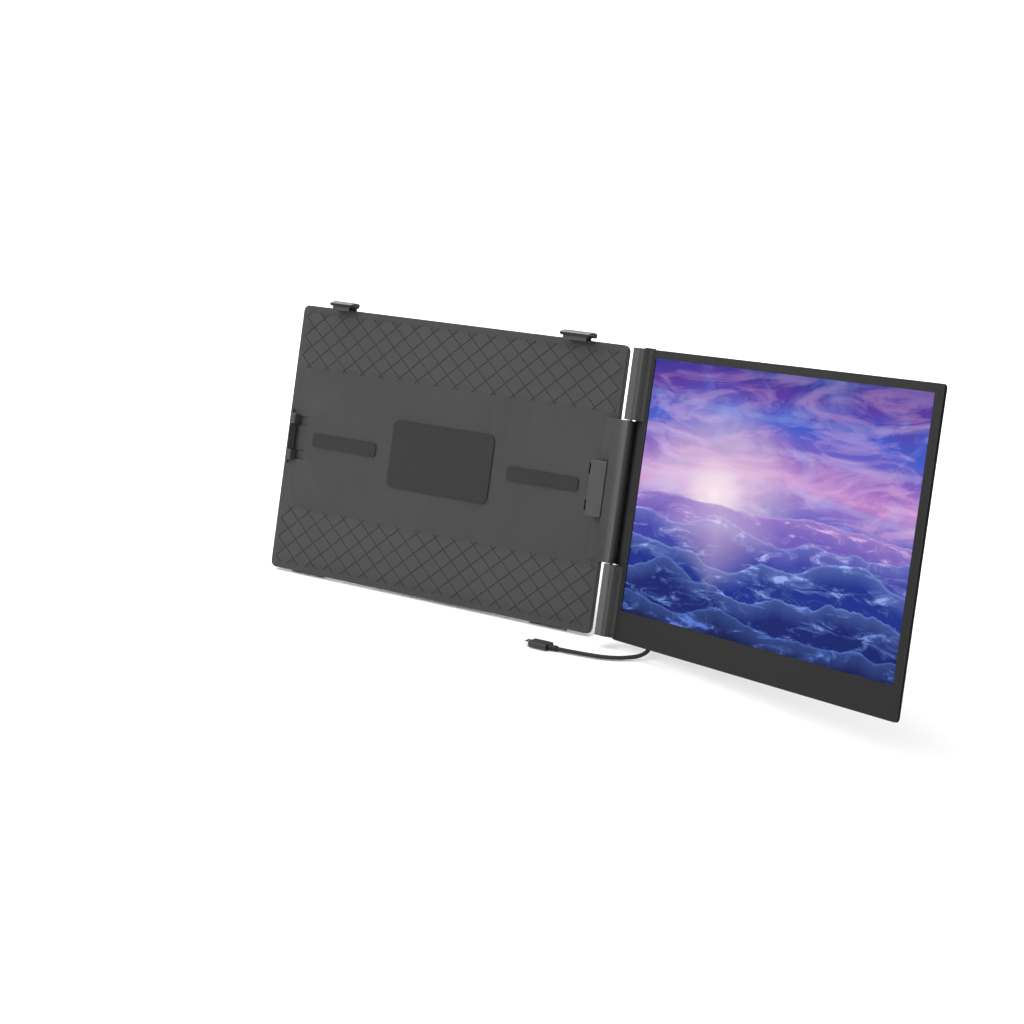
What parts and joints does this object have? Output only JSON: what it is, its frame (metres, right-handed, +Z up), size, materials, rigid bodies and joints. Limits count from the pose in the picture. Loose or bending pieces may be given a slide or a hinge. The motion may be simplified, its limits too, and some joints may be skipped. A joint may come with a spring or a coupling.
{
  "type": "laptop screen extender",
  "caption": "Clamp-on second screen for a laptop lid: grooved back bracket with sliding claws, centre torque hinge, slim monitor, rear stand and short display cable.",
  "frame": {"origin": "centre of the grip pad on the bracket's front, where the lid of the host rests", "axes": "+X to the right along the bracket, +Y to the back, +Z up; the bracket leans back 20 degrees and the monitor is turned 19.5 degrees towards the user"},
  "size_m": [0.78, 0.254, 0.2773],
  "materials": {
    "bracket_plastic": "fine moulded grain",
    "claw_plastic": "fine moulded grain",
    "grip_rubber": "soft matt",
    "steel": "plain",
    "black_screw": "black oxide",
    "bezel_plastic": "fine matt",
    "shell_plastic": "fine moulded grain",
    "spine_plastic": "satin",
    "display": "anti-glare",
    "acrylic": "clear",
    "tray_metal": "plain",
    "board": "solder mask",
    "socket_metal": "plated",
    "flex": "film",
    "speaker": "plain",
    "cable_rubber": "matt",
    "plug_plastic": "satin"
  },
  "bodies": {
    "bracket": {"bracket_front_plate": "bracket_plastic", "bracket_rear_cover": "bracket_plastic", "bracket_screws": "black_screw", "centre_grip_pad": "grip_rubber", "side_grip_pads": "grip_rubber", "bracket_feet": "grip_rubber", "top_claw_guide_left": "steel", "top_claw_guide_right": "steel", "top_claw_spring_left": "steel", "top_claw_spring_right": "steel", "side_claw_guide_left": "steel", "side_claw_guide_right": "steel", "hinge_knuckle": "spine_plastic", "hinge_leaf": "steel", "hinge_leaf_screws": "steel", "torque_sleeve_lower": "steel", "torque_sleeve_upper": "steel", "stand_hinge_pins": "steel"},
    "claw_top_left": {"top_claw_left": "claw_plastic", "top_claw_pad_left": "grip_rubber"},
    "claw_top_right": {"top_claw_right": "claw_plastic", "top_claw_pad_right": "grip_rubber"},
    "claw_side_left": {"side_claw_left": "claw_plastic", "side_claw_pad_left": "grip_rubber"},
    "claw_side_right": {"side_claw_right": "claw_plastic", "side_claw_pad_right": "grip_rubber"},
    "stand": {"stand_panel": "bracket_plastic", "stand_foot": "grip_rubber"},
    "button_power": {"power_button": "claw_plastic"},
    "button_menu": {"menu_button": "claw_plastic"},
    "monitor": {"backlight_tray": "tray_metal", "button_switches": "steel", "cable": "cable_rubber", "cable_plug_host": "plug_plastic", "cable_plug_monitor": "plug_plastic", "cable_relief_host": "cable_rubber", "cable_relief_monitor": "cable_rubber", "cable_tip_host": "socket_metal", "cable_tip_monitor": "socket_metal", "display_panel": "display", "driver_board": "board", "hinge_pin_lower": "steel", "hinge_pin_upper": "steel", "hinge_plate_lower": "steel", "hinge_plate_upper": "steel", "indicator_light_pipe": "acrylic", "light_guide": "acrylic", "mini_hdmi_socket": "socket_metal", "monitor_bezel": "bezel_plastic", "monitor_rear_shell": "shell_plastic", "monitor_screws": "black_screw", "panel_ribbon": "flex", "speakers": "speaker", "spine_lower": "spine_plastic", "spine_upper": "spine_plastic", "usb_c_sockets": "socket_metal"}
  },
  "joints": [
    {"name": "monitor_fold", "type": "hinge", "parent": "bracket", "child": "monitor", "pos_m": [0.20988, -0.00654, 0.00308], "axis": [0, -0.3423, -0.9396], "range_deg": [-30, 160]},
    {"name": "top_claw_left_slide", "type": "slide", "parent": "bracket", "child": "claw_top_left", "axis": [0, 0.3423, 0.9396], "range_m": [0, 0.012], "stiffness_N_per_m": 250, "springref_m": -0.01, "deforming": ["top_claw_spring_left"]},
    {"name": "top_claw_right_slide", "type": "slide", "parent": "bracket", "child": "claw_top_right", "axis": [0, 0.3423, 0.9396], "range_m": [0, 0.012], "stiffness_N_per_m": 250, "springref_m": -0.01, "deforming": ["top_claw_spring_right"]},
    {"name": "side_claw_left_slide", "type": "slide", "parent": "bracket", "child": "claw_side_left", "axis": [-1, 0, 0], "range_m": [-0.012, 0.0025]},
    {"name": "side_claw_right_slide", "type": "slide", "parent": "bracket", "child": "claw_side_right", "axis": [1, 0, 0], "range_m": [-0.012, 0.0025]},
    {"name": "stand_fold", "type": "hinge", "parent": "bracket", "child": "stand", "pos_m": [0, 0.01193, 0.0006], "axis": [-1, 0, 0], "range_deg": [0, 50.5]},
    {"name": "power_press", "type": "slide", "parent": "monitor", "child": "button_power", "axis": [-0.9426, 0.3138, -0.1143], "range_m": [0, 0.0008], "stiffness_N_per_m": 600, "springref_m": -0.0005},
    {"name": "menu_press", "type": "slide", "parent": "monitor", "child": "button_menu", "axis": [-0.9426, 0.3138, -0.1143], "range_m": [0, 0.0008], "stiffness_N_per_m": 600, "springref_m": -0.0005}
  ]
}
